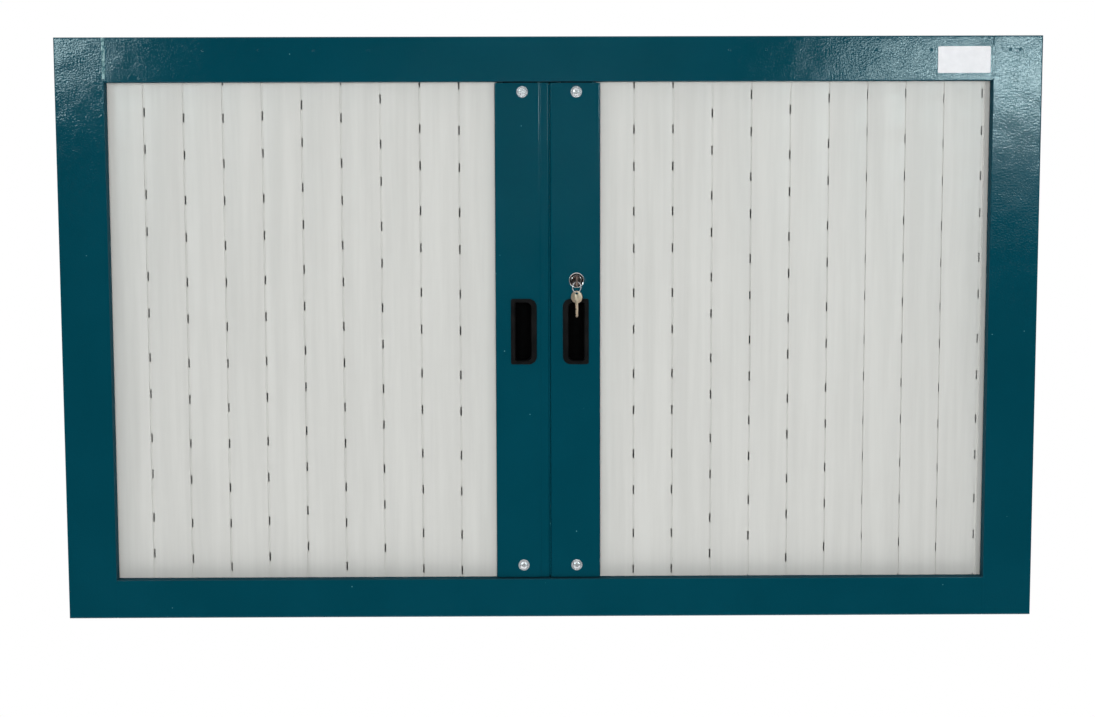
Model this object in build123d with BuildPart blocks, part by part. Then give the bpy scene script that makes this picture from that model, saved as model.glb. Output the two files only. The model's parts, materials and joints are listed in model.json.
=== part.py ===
from build123d import *
from math import cos, hypot, pi, radians, sin, sqrt
import os

# Wall cabinet for hand tools, closed by two tambour doors: curtains of upright
# hollow slats that slide sideways and turn round the front corners of the case.
# Millimetres. +X runs to the right, -Y to the front and +Z up. The wall is the
# plane y = 0, and the origin is the centre of the four wall bolts.

os.makedirs("parts", exist_ok=True)

# Case
cabinet_width = 1200.0
cabinet_height = 716.0
cabinet_depth = 250.0
sheet = 1.2
weld_flange = 15.0
wall_bolt_from_side = 420.0
wall_bolt_from_end = 58.0
wall_bolt_hole_radius = 4.5

# Front frame, four folded trays
side_border = 60.0
top_border = 54.0
bottom_border = 48.0
rim_depth = 15.0
outer_bend_radius = 1.8
seam_bend_radius = 0.8
label_width = 63.9
label_height = 32.0
label_thickness = 0.5
label_corner = 1.5
label_from_right_edge = 63.8
label_from_top_edge = 13.1

# Curtain path: the line on which the slats are hinged
path_front_setback = 22.3
path_side_setback = 10.0
path_rear_setback = 18.0
corner_radius = 60.0
rear_run_length = 310.0

# Slat section, u along the slat and v to its front
slat_pitch = 48.2
slat_gap_travel = 2.3
closed_gap = 0.3
bead_radius = 1.7
bead_play = 0.2
channel_wall = 1.0
slat_wall = 0.9
slat_edge_height = 2.8
slat_crown = 1.0
slat_back_depth = 5.2
lip_reach = 3.2
lip_hook = 0.35
neck_top = 1.3
neck_bottom = 0.2
back_chamfer = 1.2
mouth_angle = 232.0
vent_length = 11.0
vent_width = 1.6
vent_pair_spacing = 45.5
vent_period = 100.7
slat_seat_gap = 0.3
slat_top_gap = 0.9

# Tracks
track_base = 2.0
track_wall = 1.5
track_depth = 12.0
track_side_gap = 0.7
track_base_reach = 11.0
track_meeting_gap = 0.3

# Inner lining and tool board
liner_offset = 13.4
board_hole = 10.0
board_hole_pitch = 60.0
board_edge = 15.0
spacer_columns = 2
spacer_column_pitches = 4
spacer_rows = 3
spacer_radius = 8.0
spacer_screw_radius = 2.5
screw_thread_gap = 0.05
board_screw_length = 18.0
board_screw_head_radius = 5.0
board_screw_head_height = 2.6

# Lead stiles, the folded posts that pull the curtains
stile_setback = 5.0
stile_end_gap = 1.5
meeting_gap = 1.5
left_stile_width = 66.0
right_stile_width = 61.5
stile_depth = 30.0
stile_bend_radius = 1.4
meeting_strip = 11.0
meeting_strip_setback = 1.0
outer_return_depth = 11.5
first_hinge_gap = 0.25
bar_plate = 1.5
bar_flange = 9.0

# Guide blocks and their screws
guide_head_height = 40.0
guide_side_gap = 2.6
guide_tongue_gap = 0.3
stile_screw_from_meeting = 33.0
stile_screw_top_inset = 10.8
stile_screw_bottom_inset = 15.0
stile_screw_shank = 2.2
stile_screw_length = 22.0
stile_screw_flange_radius = 6.9
stile_screw_flange = 1.0
stile_screw_dome_radius = 5.6
stile_screw_dome_height = 2.4
stile_screw_dome_bend = 1.9
cross_slot_width = 1.4
cross_slot_length = 6.0
cross_slot_depth = 1.7

# Handle cups
cup_from_meeting = 16.0
cup_above_middle = 1.8
cup_width = 32.0
cup_height = 81.0
cup_flange = 1.8
cup_depth = 13.5
cup_body_inset = 2.6
cup_wall = 1.6
cup_sharp_corner = 2.5
cup_round_corner = 10.0
cup_mouth_slope = 2.6
cup_fit_gap = 0.2
cup_rim_side = 6.75
cup_rim_end = 5.0
pocket_shift = 0.8
pocket_sharp_corner = 2.0
pocket_round_corner = 6.0

# Lock
lock_from_meeting = 33.0
lock_above_cup = 63.3
bezel_radius = 9.5
bezel_height = 2.6
bezel_edge = 1.0
barrel_radius = 8.0
barrel_length = 19.0
barrel_hole_gap = 0.2
plug_radius = 6.4
plug_running_gap = 0.05
plug_setback = 0.4
nut_across_flats = 21.0
nut_thickness = 3.0
nut_thread_gap = 0.05
tail_size = 6.0
tail_gap = 0.1
cam_thickness = 2.0
cam_gap = 0.5
cam_hub_radius = 8.0
cam_width = 10.0
cam_behind_stile = 8.0
cam_hook_height = 4.0
cam_hook_length = 3.5
cam_slot_gap = 1.5
cam_screw_radius = 5.0
cam_screw_height = 2.0
keyway_width = 2.1
keyway_height = 4.9

# Keys and ring
bow_radius = 7.5
key_thickness = 1.8
key_hole_radius = 2.5
key_hole_offset = 1.5
blade_length = 19.6
blade_height = 4.3
blade_tip = 1.2
bow_standoff = 2.0
key_notch_depth = 1.1
key_notch_pitch = 3.4
key_notch_count = 4
key_notch_from_tip = 3.0
ring_radius = 6.4
ring_wire_radius = 0.6
ring_hang_gap = 0.35
ring_turn = 35.0
spare_key_turn = -25.0

# Shares chosen by hand: how open each joint of a curtain stands, from the lead
# stile's own joint outwards, and where the first vent of each slat starts in the
# vent period.
# A curtain with more joints than shares runs through them again.
left_opening_shares = [1.0] * 13
right_opening_shares = [
    0.14, 0.88, 1.0, 0.95, 0.83, 0.8, 0.67, 0.4, 0.49, 0.41, 1.0, 1.0, 1.0
]
left_vent_shares = [
    0.578, 0.554, 0.743, 0.971, 0.266, 0.396, 0.972, 0.419, 0.347, 0.5, 0.2, 0.7
]
right_vent_shares = [
    0.569, 0.565, 0.376, 0.151, 0.882, 0.748, 0.157, 0.693, 0.756, 0.145, 0.25, 0.8
]

# Derived levels and planes
half_width = cabinet_width / 2
half_height = cabinet_height / 2
opening_half = half_width - side_border
opening_top = half_height - top_border
opening_bottom = -half_height + bottom_border
inner_level = half_height - sheet
rim_back = -(cabinet_depth - rim_depth)
stile_face = -(cabinet_depth - stile_setback)
stile_top = opening_top - stile_end_gap
stile_bottom = opening_bottom + stile_end_gap
stile_inner_face = stile_face + sheet
stile_rear = stile_face + stile_depth
path_front = -(cabinet_depth - path_front_setback)
path_side = half_width - path_side_setback
path_rear = -path_rear_setback
turn_x = path_side - corner_radius
turn_front = path_front + corner_radius
turn_rear = path_rear - corner_radius
quarter_turn = corner_radius * pi / 2
rear_run_end = turn_x - rear_run_length
wall_bolt_spacing_x = cabinet_width - 2 * wall_bolt_from_side
wall_bolt_spacing_z = cabinet_height - 2 * wall_bolt_from_end
track_floor = inner_level - track_base
slat_bottom = -track_floor + slat_seat_gap
slat_height = 2 * track_floor - slat_seat_gap - slat_top_gap
channel_radius = bead_radius + bead_play
channel_outer = channel_radius + channel_wall
slat_body_end = lip_reach + closed_gap + slat_gap_travel
slat_front = slat_edge_height + slat_crown
track_outer = slat_front + track_side_gap
track_inner = slat_back_depth + track_side_gap
track_run_in = slat_pitch / 2
cup_level = (opening_top + opening_bottom) / 2 + cup_above_middle
lock_level = cup_level + lock_above_cup
meeting_edge = meeting_gap / 2
cam_front = stile_face + barrel_length + cam_gap
cam_reach = lock_from_meeting + cam_behind_stile


def save(piece, label):
    piece.part.label = label
    export_step(piece.part, f"parts/{label}.step")


def block(x, y, z, mode=Mode.ADD):
    """A box between pairs of x, y and z."""
    middle = (sum(x) / 2, sum(y) / 2, sum(z) / 2)
    with Locations(middle):
        Box(abs(x[1] - x[0]), abs(y[1] - y[0]), abs(z[1] - z[0]), mode=mode)


# Case panels

with BuildPart() as back_panel:
    with BuildSketch(Plane.XZ):
        Rectangle(cabinet_width, cabinet_height)
        with GridLocations(wall_bolt_spacing_x, wall_bolt_spacing_z, 2, 2):
            Circle(wall_bolt_hole_radius, mode=Mode.SUBTRACT)
    extrude(amount=sheet)
save(back_panel, "back_panel")

for name, up in (("top_panel", 1), ("bottom_panel", -1)):
    with BuildPart() as flat_panel:
        outer = up * half_height
        inner = up * inner_level
        flange_end = up * (inner_level - weld_flange)
        block((-half_width, half_width), (rim_back, -sheet), (inner, outer))
        block((-half_width + sheet, half_width - sheet), (-2 * sheet, -sheet), (flange_end, inner))
    save(flat_panel, name)

for name, side in (("left_side_panel", -1), ("right_side_panel", 1)):
    with BuildPart() as side_panel:
        outer = side * half_width
        inner = side * (half_width - sheet)
        flange_end = side * (half_width - sheet - weld_flange)
        flange_level = inner_level - weld_flange
        block((inner, outer), (rim_back, -sheet), (-inner_level, inner_level))
        block((flange_end, inner), (-2 * sheet, -sheet), (-flange_level, flange_level))
    save(side_panel, name)


# Front frame: trays open to the back, with the bends rounded

def frame_tray(name, x, z, outer_edges):
    with BuildPart() as tray:
        block(x, (-cabinet_depth, rim_back), z)
        front_edges = tray.faces().sort_by(Axis.Y)[0].edges()
        outer_set = [front_edges.sort_by(axis)[place] for axis, place in outer_edges]
        middles = [edge.center() for edge in outer_set]
        fillet(outer_set, outer_bend_radius)
        front_edges = tray.faces().sort_by(Axis.Y)[0].edges()
        seam_set = [
            edge for edge in front_edges
            if all((edge.center() - middle).length > 2 * outer_bend_radius for middle in middles)
        ]
        fillet(seam_set, seam_bend_radius)
        offset(amount=-sheet, openings=tray.faces().sort_by(Axis.Y)[-1])
    save(tray, name)


frame_tray(
    "frame_left_stile", (-half_width, -opening_half), (-half_height, half_height),
    [(Axis.X, 0), (Axis.Z, 0), (Axis.Z, -1)],
)
frame_tray(
    "frame_right_stile", (opening_half, half_width), (-half_height, half_height),
    [(Axis.X, -1), (Axis.Z, 0), (Axis.Z, -1)],
)
frame_tray(
    "frame_top_rail", (-opening_half, opening_half), (opening_top, half_height), [(Axis.Z, -1)]
)
frame_tray(
    "frame_bottom_rail", (-opening_half, opening_half), (-half_height, opening_bottom),
    [(Axis.Z, 0)],
)

with BuildPart() as blank_label:
    label_x = half_width - label_from_right_edge - label_width / 2
    label_z = half_height - label_from_top_edge - label_height / 2
    with BuildSketch(Plane.XZ.offset(cabinet_depth)):
        with Locations((label_x, label_z)):
            RectangleRounded(label_width, label_height, label_corner)
    extrude(amount=label_thickness)
save(blank_label, "blank_label")


# The curtain path: front run, corner, side run, corner and rear run. Offsets are
# positive to the outside of the path, and side is -1 on the left and 1 on the right.

def add_path(side, offset_out, front_from, rear_to):
    """Lines and arcs of the path at one offset, from the front run to the rear run."""
    radius = corner_radius + offset_out
    diagonal = radius * sqrt(2) / 2
    front = path_front - offset_out
    rear = path_rear + offset_out
    outside = side * (path_side + offset_out)
    turn = side * turn_x
    far = side * (turn_x + diagonal)
    if front_from < turn_x:
        Line((side * front_from, front), (turn, front))
    ThreePointArc((turn, front), (far, turn_front - diagonal), (outside, turn_front))
    Line((outside, turn_front), (outside, turn_rear))
    ThreePointArc((outside, turn_rear), (far, turn_rear + diagonal), (turn, rear))
    if rear_to < turn_x:
        Line((turn, rear), (side * rear_to, rear))


def path_strip(side, inner, outer, front_from, rear_to):
    """The flat area between two offsets of the path."""
    with BuildSketch() as strip:
        with BuildLine():
            add_path(side, outer, front_from, rear_to)
            add_path(side, inner, front_from, rear_to)
            Line((side * front_from, path_front - inner), (side * front_from, path_front - outer))
            Line((side * rear_to, path_rear + inner), (side * rear_to, path_rear + outer))
        make_face()
    return strip.sketch


def track(name, side, up):
    with BuildPart() as rail:
        start = track_meeting_gap / 2
        outside = track_outer + track_wall
        inside = track_inner + track_wall
        with BuildSketch(Plane.XY.offset(up * inner_level)):
            add(path_strip(side, -track_base_reach, outside, start, rear_run_end))
        extrude(amount=-up * track_base)
        with BuildSketch(Plane.XY.offset(up * track_floor)):
            add(path_strip(side, track_outer, outside, start, rear_run_end))
            front_wall = path_front + track_inner + track_wall / 2
            rear_wall = path_rear - track_inner - track_wall / 2
            side_wall = side * (path_side - track_inner - track_wall / 2)
            wall_end = turn_x - track_run_in
            with Locations((side * (start + wall_end) / 2, front_wall)):
                Rectangle(wall_end - start, track_wall)
            with Locations((side * (rear_run_end + wall_end) / 2, rear_wall)):
                Rectangle(wall_end - rear_run_end, track_wall)
            with Locations((side_wall, (turn_front + turn_rear) / 2)):
                Rectangle(track_wall, turn_rear - turn_front - 2 * track_run_in)
            stop = side * (rear_run_end + track_wall / 2)
            with Locations((stop, path_rear + (outside - inside) / 2)):
                Rectangle(track_wall, outside + inside)
        extrude(amount=-up * track_depth)
    save(rail, name)


for side_name, side in (("left", -1), ("right", 1)):
    track(f"upper_{side_name}_track", side, 1)
    track(f"lower_{side_name}_track", side, -1)

for name, side in (("left_inner_liner", -1), ("right_inner_liner", 1)):
    with BuildPart() as liner:
        with BuildSketch(Plane.XY.offset(-inner_level)):
            add(path_strip(side, -liner_offset - sheet, -liner_offset, turn_x, turn_x))
        extrude(amount=2 * inner_level)
    save(liner, name)


# Tool board, which closes the back of the tool space between the two linings

def holes_across(half_span):
    """The even number of board holes that fits, so that spacers stand between them."""
    last_hole = half_span - board_edge - board_hole / 2
    return 2 * int((last_hole + board_hole_pitch / 2) // board_hole_pitch)


board_back = path_rear - liner_offset
spacer_length = -board_back - sheet
board_columns = holes_across(turn_x)
board_rows = holes_across(inner_level)
spacer_spacing_x = spacer_column_pitches * board_hole_pitch
spacer_spacing_z = (board_rows - 2) / (spacer_rows - 1) * board_hole_pitch
spacer_grid = (spacer_spacing_x, spacer_spacing_z, spacer_columns, spacer_rows)

with BuildPart() as tool_board:
    with BuildSketch(Plane.XZ.offset(-board_back)):
        Rectangle(2 * turn_x, 2 * inner_level)
        with GridLocations(board_hole_pitch, board_hole_pitch, board_columns, board_rows):
            Rectangle(board_hole, board_hole, mode=Mode.SUBTRACT)
        with GridLocations(*spacer_grid):
            Circle(spacer_screw_radius + screw_thread_gap, mode=Mode.SUBTRACT)
    extrude(amount=sheet)
save(tool_board, "tool_board")

with BuildPart() as tool_board_spacers:
    with BuildSketch(Plane.XZ.offset(sheet)):
        with GridLocations(*spacer_grid):
            Circle(spacer_radius)
            Circle(spacer_screw_radius + screw_thread_gap, mode=Mode.SUBTRACT)
    extrude(amount=spacer_length)
save(tool_board_spacers, "tool_board_spacers")

with BuildPart() as tool_board_screws:
    board_front = Plane.XZ.offset(-board_back + sheet)
    with BuildSketch(board_front):
        with GridLocations(*spacer_grid):
            Circle(board_screw_head_radius)
    extrude(amount=board_screw_head_height)
    fillet(
        tool_board_screws.faces().group_by(Axis.Y)[0].edges(), board_screw_head_height / 2
    )
    with BuildSketch(board_front):
        with GridLocations(*spacer_grid):
            Circle(spacer_screw_radius)
    extrude(amount=-board_screw_length)
save(tool_board_screws, "tool_board_screws")


# Curtain slats. The bead of one slat rides in the channel of the next one, so each
# joint can stand open, which bares a row of vents, or pushed shut.

def path_point(travel):
    """The point at a length along the path from the middle of the cabinet, for +X."""
    side_run = turn_rear - turn_front
    if travel <= turn_x:
        return travel, path_front
    travel = travel - turn_x
    if travel <= quarter_turn:
        angle = travel / corner_radius
        return turn_x + corner_radius * sin(angle), turn_front - corner_radius * cos(angle)
    travel = travel - quarter_turn
    if travel <= side_run:
        return path_side, turn_front + travel
    angle = (travel - side_run) / corner_radius
    return turn_x + corner_radius * cos(angle), turn_rear + corner_radius * sin(angle)


def next_on_path(travel, chord):
    """The length along the path of the point that lies one chord further on."""
    low, high = travel, travel + 2 * chord
    start = path_point(travel)
    for _ in range(50):
        middle = (low + high) / 2
        point = path_point(middle)
        if hypot(point[0] - start[0], point[1] - start[1]) < chord:
            low = middle
        else:
            high = middle
    return low


def slat_section():
    """The section of a slat, with its channel at the origin and its bead one pitch on."""
    body_end = slat_pitch - slat_body_end
    crown_middle = (body_end - lip_reach) / 2
    under_lip = channel_radius
    hook_inside = lip_reach - channel_wall
    mouth_x = 2 * lip_reach * cos(radians(mouth_angle))
    mouth_y = 2 * lip_reach * sin(radians(mouth_angle))
    chamber_low = -slat_back_depth + slat_wall
    chamber_high = slat_edge_height - slat_wall
    chamber_from = slat_gap_travel + channel_outer
    chamber_to = body_end - slat_wall
    chamber_width = (chamber_to - chamber_from - slat_wall) / 2
    with BuildSketch() as section:
        with BuildLine():
            ThreePointArc(
                (-lip_reach, slat_edge_height),
                (crown_middle, slat_front),
                (body_end, slat_edge_height),
            )
            Polyline(
                (body_end, slat_edge_height),
                (body_end, -slat_back_depth + back_chamfer),
                (body_end - back_chamfer, -slat_back_depth),
                (channel_outer, -slat_back_depth),
                (0, -channel_outer),
                (-lip_reach, 0),
                (-lip_reach, slat_edge_height),
            )
        make_face()
        Circle(channel_outer)
        with BuildLine():
            Polyline(
                (0, 0),
                (0, under_lip),
                (-hook_inside, under_lip),
                (-hook_inside, under_lip - lip_hook),
                (-2 * lip_reach, under_lip - lip_hook),
                (-2 * lip_reach, mouth_y),
                (mouth_x, mouth_y),
                close=True,
            )
        make_face(mode=Mode.SUBTRACT)
        with Locations((0, 0), (slat_gap_travel, 0)):
            Circle(channel_radius, mode=Mode.SUBTRACT)
        with Locations((slat_gap_travel / 2, 0)):
            Rectangle(slat_gap_travel, 2 * channel_radius, mode=Mode.SUBTRACT)
        for start in (chamber_from, chamber_to - chamber_width):
            with Locations((start + chamber_width / 2, (chamber_low + chamber_high) / 2)):
                Rectangle(chamber_width, chamber_high - chamber_low, mode=Mode.SUBTRACT)
        with Locations((slat_pitch, 0)):
            Circle(bead_radius)
        with Locations(((slat_pitch + body_end) / 2, (neck_top + neck_bottom) / 2)):
            Rectangle(slat_pitch - body_end, neck_top - neck_bottom)
    return section.sketch


def vent_centres(share):
    """Heights of the vents in one joint, in pairs, down from the top of the opening."""
    centres = []
    level = opening_top - (share - 1) * vent_period
    while level > slat_bottom:
        for centre in (level, level - vent_pair_spacing):
            inside = slat_bottom + vent_length < centre < slat_bottom + slat_height - vent_length
            if inside:
                centres.append(centre)
        level -= vent_period
    return centres


def slat(name, side, start, end, vent_share):
    """One slat from its channel point to the next point on the path."""
    length = hypot(end[0] - start[0], end[1] - start[1])
    along = (side * (end[0] - start[0]) / length, (end[1] - start[1]) / length, 0)
    foot = slat_bottom if side < 0 else slat_bottom + slat_height
    section_plane = Plane(
        origin=(side * start[0], start[1], foot), x_dir=along, z_dir=(0, 0, -side)
    )
    with BuildPart() as piece:
        with BuildSketch(section_plane):
            add(slat_section())
        extrude(amount=slat_height)
        vent_u = slat_pitch - (slat_body_end + lip_reach) / 2
        vent_v = (neck_top + neck_bottom) / 2
        levels = [abs(centre - foot) for centre in vent_centres(vent_share)]
        spots = [
            section_plane.from_local_coords(Vector(vent_u, vent_v, level)) for level in levels
        ]
        vent_axes = [Location(Plane(spot, x_dir=along, z_dir=(0, 0, -side))) for spot in spots]
        with Locations(*vent_axes):
            Box(vent_width, 2 * (neck_top - neck_bottom), vent_length, mode=Mode.SUBTRACT)
    save(piece, name)


def curtain(side_name, side, stile_width, opening_shares, vent_shares):
    """Slats from the lead stile until one starts past the front corner."""
    travel = meeting_edge + stile_width + first_hinge_gap
    travel -= (1 - opening_shares[0]) * slat_gap_travel
    number = 0
    while travel < turn_x + quarter_turn:
        vent = vent_shares[number % len(vent_shares)]
        number += 1
        opening = opening_shares[number % len(opening_shares)]
        chord = slat_pitch - (1 - opening) * slat_gap_travel
        following = next_on_path(travel, chord)
        start, end = path_point(travel), path_point(following)
        slat(f"{side_name}_slat_{number:02d}", side, start, end, vent)
        print(side_name, number, "slat starts at", round(start[0], 3), round(start[1], 3))
        travel = following


curtain("left", -1, left_stile_width, left_opening_shares, left_vent_shares)
curtain("right", 1, right_stile_width, right_opening_shares, right_vent_shares)


# Lead stiles with the bar that pulls the first slat

def stile(name, side, width, strip):
    outer = meeting_edge + width
    mid = sheet / 2
    face = stile_face + mid
    strip_face = face + strip
    bar = outer + first_hinge_gap - slat_body_end
    points = [(outer - mid, stile_face + outer_return_depth), (outer - mid, face)]
    if strip:
        step = meeting_edge + meeting_strip
        points += [(step + stile_bend_radius, face), (step - stile_bend_radius, strip_face)]
    points += [
        (meeting_edge + mid, strip_face),
        (meeting_edge + mid, stile_rear - mid),
        (bar - guide_side_gap, stile_rear - mid),
    ]
    cup_middle = cup_from_meeting + cup_width / 2
    hook_radius = hypot(cam_reach, cam_width / 2 + cam_hook_height)
    flange_reach = lock_from_meeting - meeting_edge - sheet
    slot_low = lock_level - sqrt(hook_radius ** 2 - flange_reach ** 2) - cam_slot_gap
    slot_high = lock_level + cam_width / 2 + cam_slot_gap
    slot_front = cam_front - cam_slot_gap
    slot_back = cam_front + cam_thickness + cam_slot_gap
    with BuildPart() as post:
        with BuildSketch(Plane.XY.offset(stile_bottom)):
            with BuildLine():
                FilletPolyline(*[(side * x, y) for x, y in points], radius=stile_bend_radius)
            trace(line_width=sheet)
        extrude(amount=stile_top - stile_bottom)
        front = Plane.XZ.offset(-stile_face)
        hole_depth = 2 * sheet
        with BuildSketch(front):
            with Locations((side * cup_middle, cup_level)):
                body_width = cup_width - 2 * cup_body_inset + 2 * cup_fit_gap
                body_height = cup_height - 2 * cup_body_inset + 2 * cup_fit_gap
                Rectangle(body_width, body_height)
        extrude(amount=-hole_depth, mode=Mode.SUBTRACT)
        with BuildSketch(front):
            screw_x = side * stile_screw_from_meeting
            with Locations(
                (screw_x, stile_top - stile_screw_top_inset),
                (screw_x, stile_bottom + stile_screw_bottom_inset),
            ):
                Circle(stile_screw_shank + screw_thread_gap)
        extrude(amount=-hole_depth, mode=Mode.SUBTRACT)
        if side > 0:
            with BuildSketch(front):
                with Locations((lock_from_meeting, lock_level)):
                    Circle(barrel_radius + barrel_hole_gap)
            extrude(amount=-hole_depth, mode=Mode.SUBTRACT)
        flange_x = (side * (meeting_edge - sheet), side * (meeting_edge + 2 * sheet))
        block(flange_x, (slot_front, slot_back), (slot_low, slot_high), mode=Mode.SUBTRACT)
    save(post, name)


def curtain_bar(name, side, width):
    """The bar inside a stile whose bead stands for the bead of a slat before the first."""
    hinge = meeting_edge + width + first_hinge_gap
    plate = hinge - slat_body_end
    end_gap = guide_head_height + guide_side_gap
    with BuildPart() as bar:
        with BuildSketch(Plane.XY.offset(stile_bottom + end_gap)):
            web_middle = (stile_inner_face + path_front) / 2
            with Locations((side * (plate - bar_plate / 2), web_middle)):
                Rectangle(bar_plate, path_front - stile_inner_face)
            flange_middle = plate - bar_flange / 2
            with Locations((side * flange_middle, stile_inner_face + bar_plate / 2)):
                Rectangle(bar_flange, bar_plate)
            neck_middle = path_front - (neck_top + neck_bottom) / 2
            with Locations((side * (hinge + plate) / 2, neck_middle)):
                Rectangle(slat_body_end, neck_top - neck_bottom)
            with Locations((side * hinge, path_front)):
                Circle(bead_radius)
        extrude(amount=stile_top - stile_bottom - 2 * end_gap)
    save(bar, name)


def guide_blocks(name, side, width):
    """Plastic blocks, screwed in both ends of a stile, whose tongues run in the tracks."""
    bar = meeting_edge + width + first_hinge_gap - slat_body_end - bar_plate
    near = meeting_edge + meeting_strip + guide_side_gap
    far = bar - guide_side_gap
    x = (side * near, side * far)
    tongue_y = (path_front - slat_front + guide_tongue_gap, path_front + slat_back_depth)
    ends = (
        (stile_top, stile_top - guide_head_height, track_floor - slat_top_gap,
         stile_top - stile_screw_top_inset),
        (stile_bottom, stile_bottom + guide_head_height, -track_floor + slat_seat_gap,
         stile_bottom + stile_screw_bottom_inset),
    )
    with BuildPart() as guides:
        for stile_end, head_end, tongue_end, screw_level in ends:
            block(x, (stile_inner_face, stile_rear - sheet), (head_end, stile_end))
            block(x, tongue_y, (stile_end, tongue_end))
            screw_spot = Plane(
                (side * stile_screw_from_meeting, stile_inner_face, screw_level),
                x_dir=(1, 0, 0), z_dir=(0, -1, 0),
            )
            with BuildSketch(screw_spot):
                Circle(stile_screw_shank + screw_thread_gap)
            extrude(amount=-stile_screw_length, mode=Mode.SUBTRACT)
    save(guides, name)


def stile_screws(name, side):
    """Flanged pan-head screws with a cross recess."""
    with BuildPart() as screws:
        for level in (stile_top - stile_screw_top_inset, stile_bottom + stile_screw_bottom_inset):
            spot = Plane(
                (side * stile_screw_from_meeting, stile_face, level),
                x_dir=(1, 0, 0), z_dir=(0, -1, 0),
            )
            with BuildSketch(spot):
                Circle(stile_screw_shank)
            extrude(amount=-stile_screw_length + sheet)
            with BuildSketch(spot):
                Circle(stile_screw_flange_radius)
            extrude(amount=stile_screw_flange)
            with BuildSketch(spot.offset(stile_screw_flange)):
                Circle(stile_screw_dome_radius)
            extrude(amount=stile_screw_dome_height)
            crown = screws.edges().group_by(Axis.Y)[0]
            fillet(crown.sort_by_distance(spot.origin)[0], stile_screw_dome_bend)
            top = stile_screw_flange + stile_screw_dome_height
            with BuildSketch(spot.offset(top)):
                Rectangle(cross_slot_length, cross_slot_width)
                Rectangle(cross_slot_width, cross_slot_length)
            extrude(amount=-cross_slot_depth, mode=Mode.SUBTRACT)
    save(screws, name)


def d_shape(side, width, height, sharp, rounded):
    """A D-shaped outline: its round corners face the meeting line."""
    near = -1 if side < 0 else 0
    with BuildSketch() as outline:
        Rectangle(width, height)
        fillet(outline.vertices().group_by(Axis.X)[near], rounded)
        fillet(outline.vertices().group_by(Axis.X)[-1 - near], sharp)
    return outline.sketch


def handle_cup(name, side):
    middle = side * (cup_from_meeting + cup_width / 2)
    centre = (middle, cup_level)
    pocket_centre = (middle + side * pocket_shift, cup_level)
    face = Plane.XZ.offset(-stile_face)
    with BuildPart() as cup:
        with BuildSketch(face):
            with Locations(centre):
                add(d_shape(side, cup_width, cup_height, cup_sharp_corner, cup_round_corner))
        extrude(amount=cup_flange)
        with BuildSketch(face):
            with Locations(centre):
                Rectangle(cup_width - 2 * cup_body_inset, cup_height - 2 * cup_body_inset)
        extrude(amount=-cup_depth)
        with BuildSketch(face.offset(cup_flange)):
            pocket_width = cup_width - 2 * cup_rim_side
            pocket_height = cup_height - 2 * cup_rim_end
            pocket = d_shape(
                side, pocket_width, pocket_height, pocket_sharp_corner, pocket_round_corner
            )
            with Locations(pocket_centre):
                add(pocket)
        extrude(amount=-(cup_flange + cup_depth - cup_wall), mode=Mode.SUBTRACT)
        front_face = cup.faces().sort_by(Axis.Y)[0]
        mouth = front_face.inner_wires()[0].edges()
        chamfer(mouth, cup_mouth_slope / 2, cup_mouth_slope)
        rim = cup.faces().sort_by(Axis.Y)[0].outer_wire().edges()
        fillet(rim, cup_flange / 2)
    save(cup, name)


for side_name, side, width, strip in (
    ("left", -1, left_stile_width, meeting_strip_setback),
    ("right", 1, right_stile_width, 0),
):
    stile(f"{side_name}_lead_stile", side, width, strip)
    curtain_bar(f"{side_name}_curtain_bar", side, width)
    guide_blocks(f"{side_name}_guide_blocks", side, width)
    stile_screws(f"{side_name}_stile_screws", side)
    handle_cup(f"{side_name}_handle_cup", side)


# Lock in the right stile: turned a quarter, its hooked cam reaches through slots in
# the meeting flanges of both stiles.

lock_front = Plane(
    (lock_from_meeting, stile_face, lock_level), x_dir=(1, 0, 0), z_dir=(0, -1, 0)
)

with BuildPart() as lock_body:
    with BuildSketch(lock_front):
        Circle(bezel_radius)
    extrude(amount=bezel_height)
    fillet(lock_body.edges().group_by(Axis.Y)[0], bezel_edge)
    with BuildSketch(lock_front):
        Circle(barrel_radius)
    extrude(amount=-barrel_length)
    with BuildSketch(lock_front.offset(bezel_height)):
        Circle(plug_radius + plug_running_gap)
    extrude(amount=-(bezel_height + barrel_length), mode=Mode.SUBTRACT)
save(lock_body, "lock_body")

with BuildPart() as lock_nut:
    with BuildSketch(lock_front.offset(-sheet)):
        RegularPolygon(nut_across_flats / 2, 6, major_radius=False)
        Circle(barrel_radius + nut_thread_gap, mode=Mode.SUBTRACT)
    extrude(amount=-nut_thickness)
save(lock_nut, "lock_nut")

with BuildPart() as lock_plug:
    plug_front = lock_front.offset(bezel_height - plug_setback)
    plug_length = barrel_length + bezel_height - plug_setback
    tail_length = 2 * cam_gap + cam_thickness
    with BuildSketch(plug_front):
        Circle(plug_radius)
    extrude(amount=-plug_length)
    with BuildSketch(lock_front.offset(-barrel_length)):
        Rectangle(tail_size, tail_size)
    extrude(amount=-tail_length)
    with BuildSketch(lock_front.offset(-barrel_length - tail_length)):
        Circle(cam_screw_radius)
    extrude(amount=-cam_screw_height)
    with BuildSketch(plug_front):
        Rectangle(keyway_width, keyway_height)
    extrude(amount=-(blade_length + tail_gap), mode=Mode.SUBTRACT)
save(lock_plug, "lock_plug")

with BuildPart() as lock_cam:
    with BuildSketch(lock_front.offset(-barrel_length - cam_gap)):
        Circle(cam_hub_radius)
        with Locations((0, -cam_reach / 2)):
            Rectangle(cam_width, cam_reach)
        hook_middle = -cam_reach + cam_hook_length / 2
        with Locations((-(cam_width + cam_hook_height) / 2, hook_middle)):
            Rectangle(cam_hook_height, cam_hook_length)
        Rectangle(tail_size + tail_gap, tail_size + tail_gap, mode=Mode.SUBTRACT)
    extrude(amount=-cam_thickness)
save(lock_cam, "lock_cam")


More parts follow.
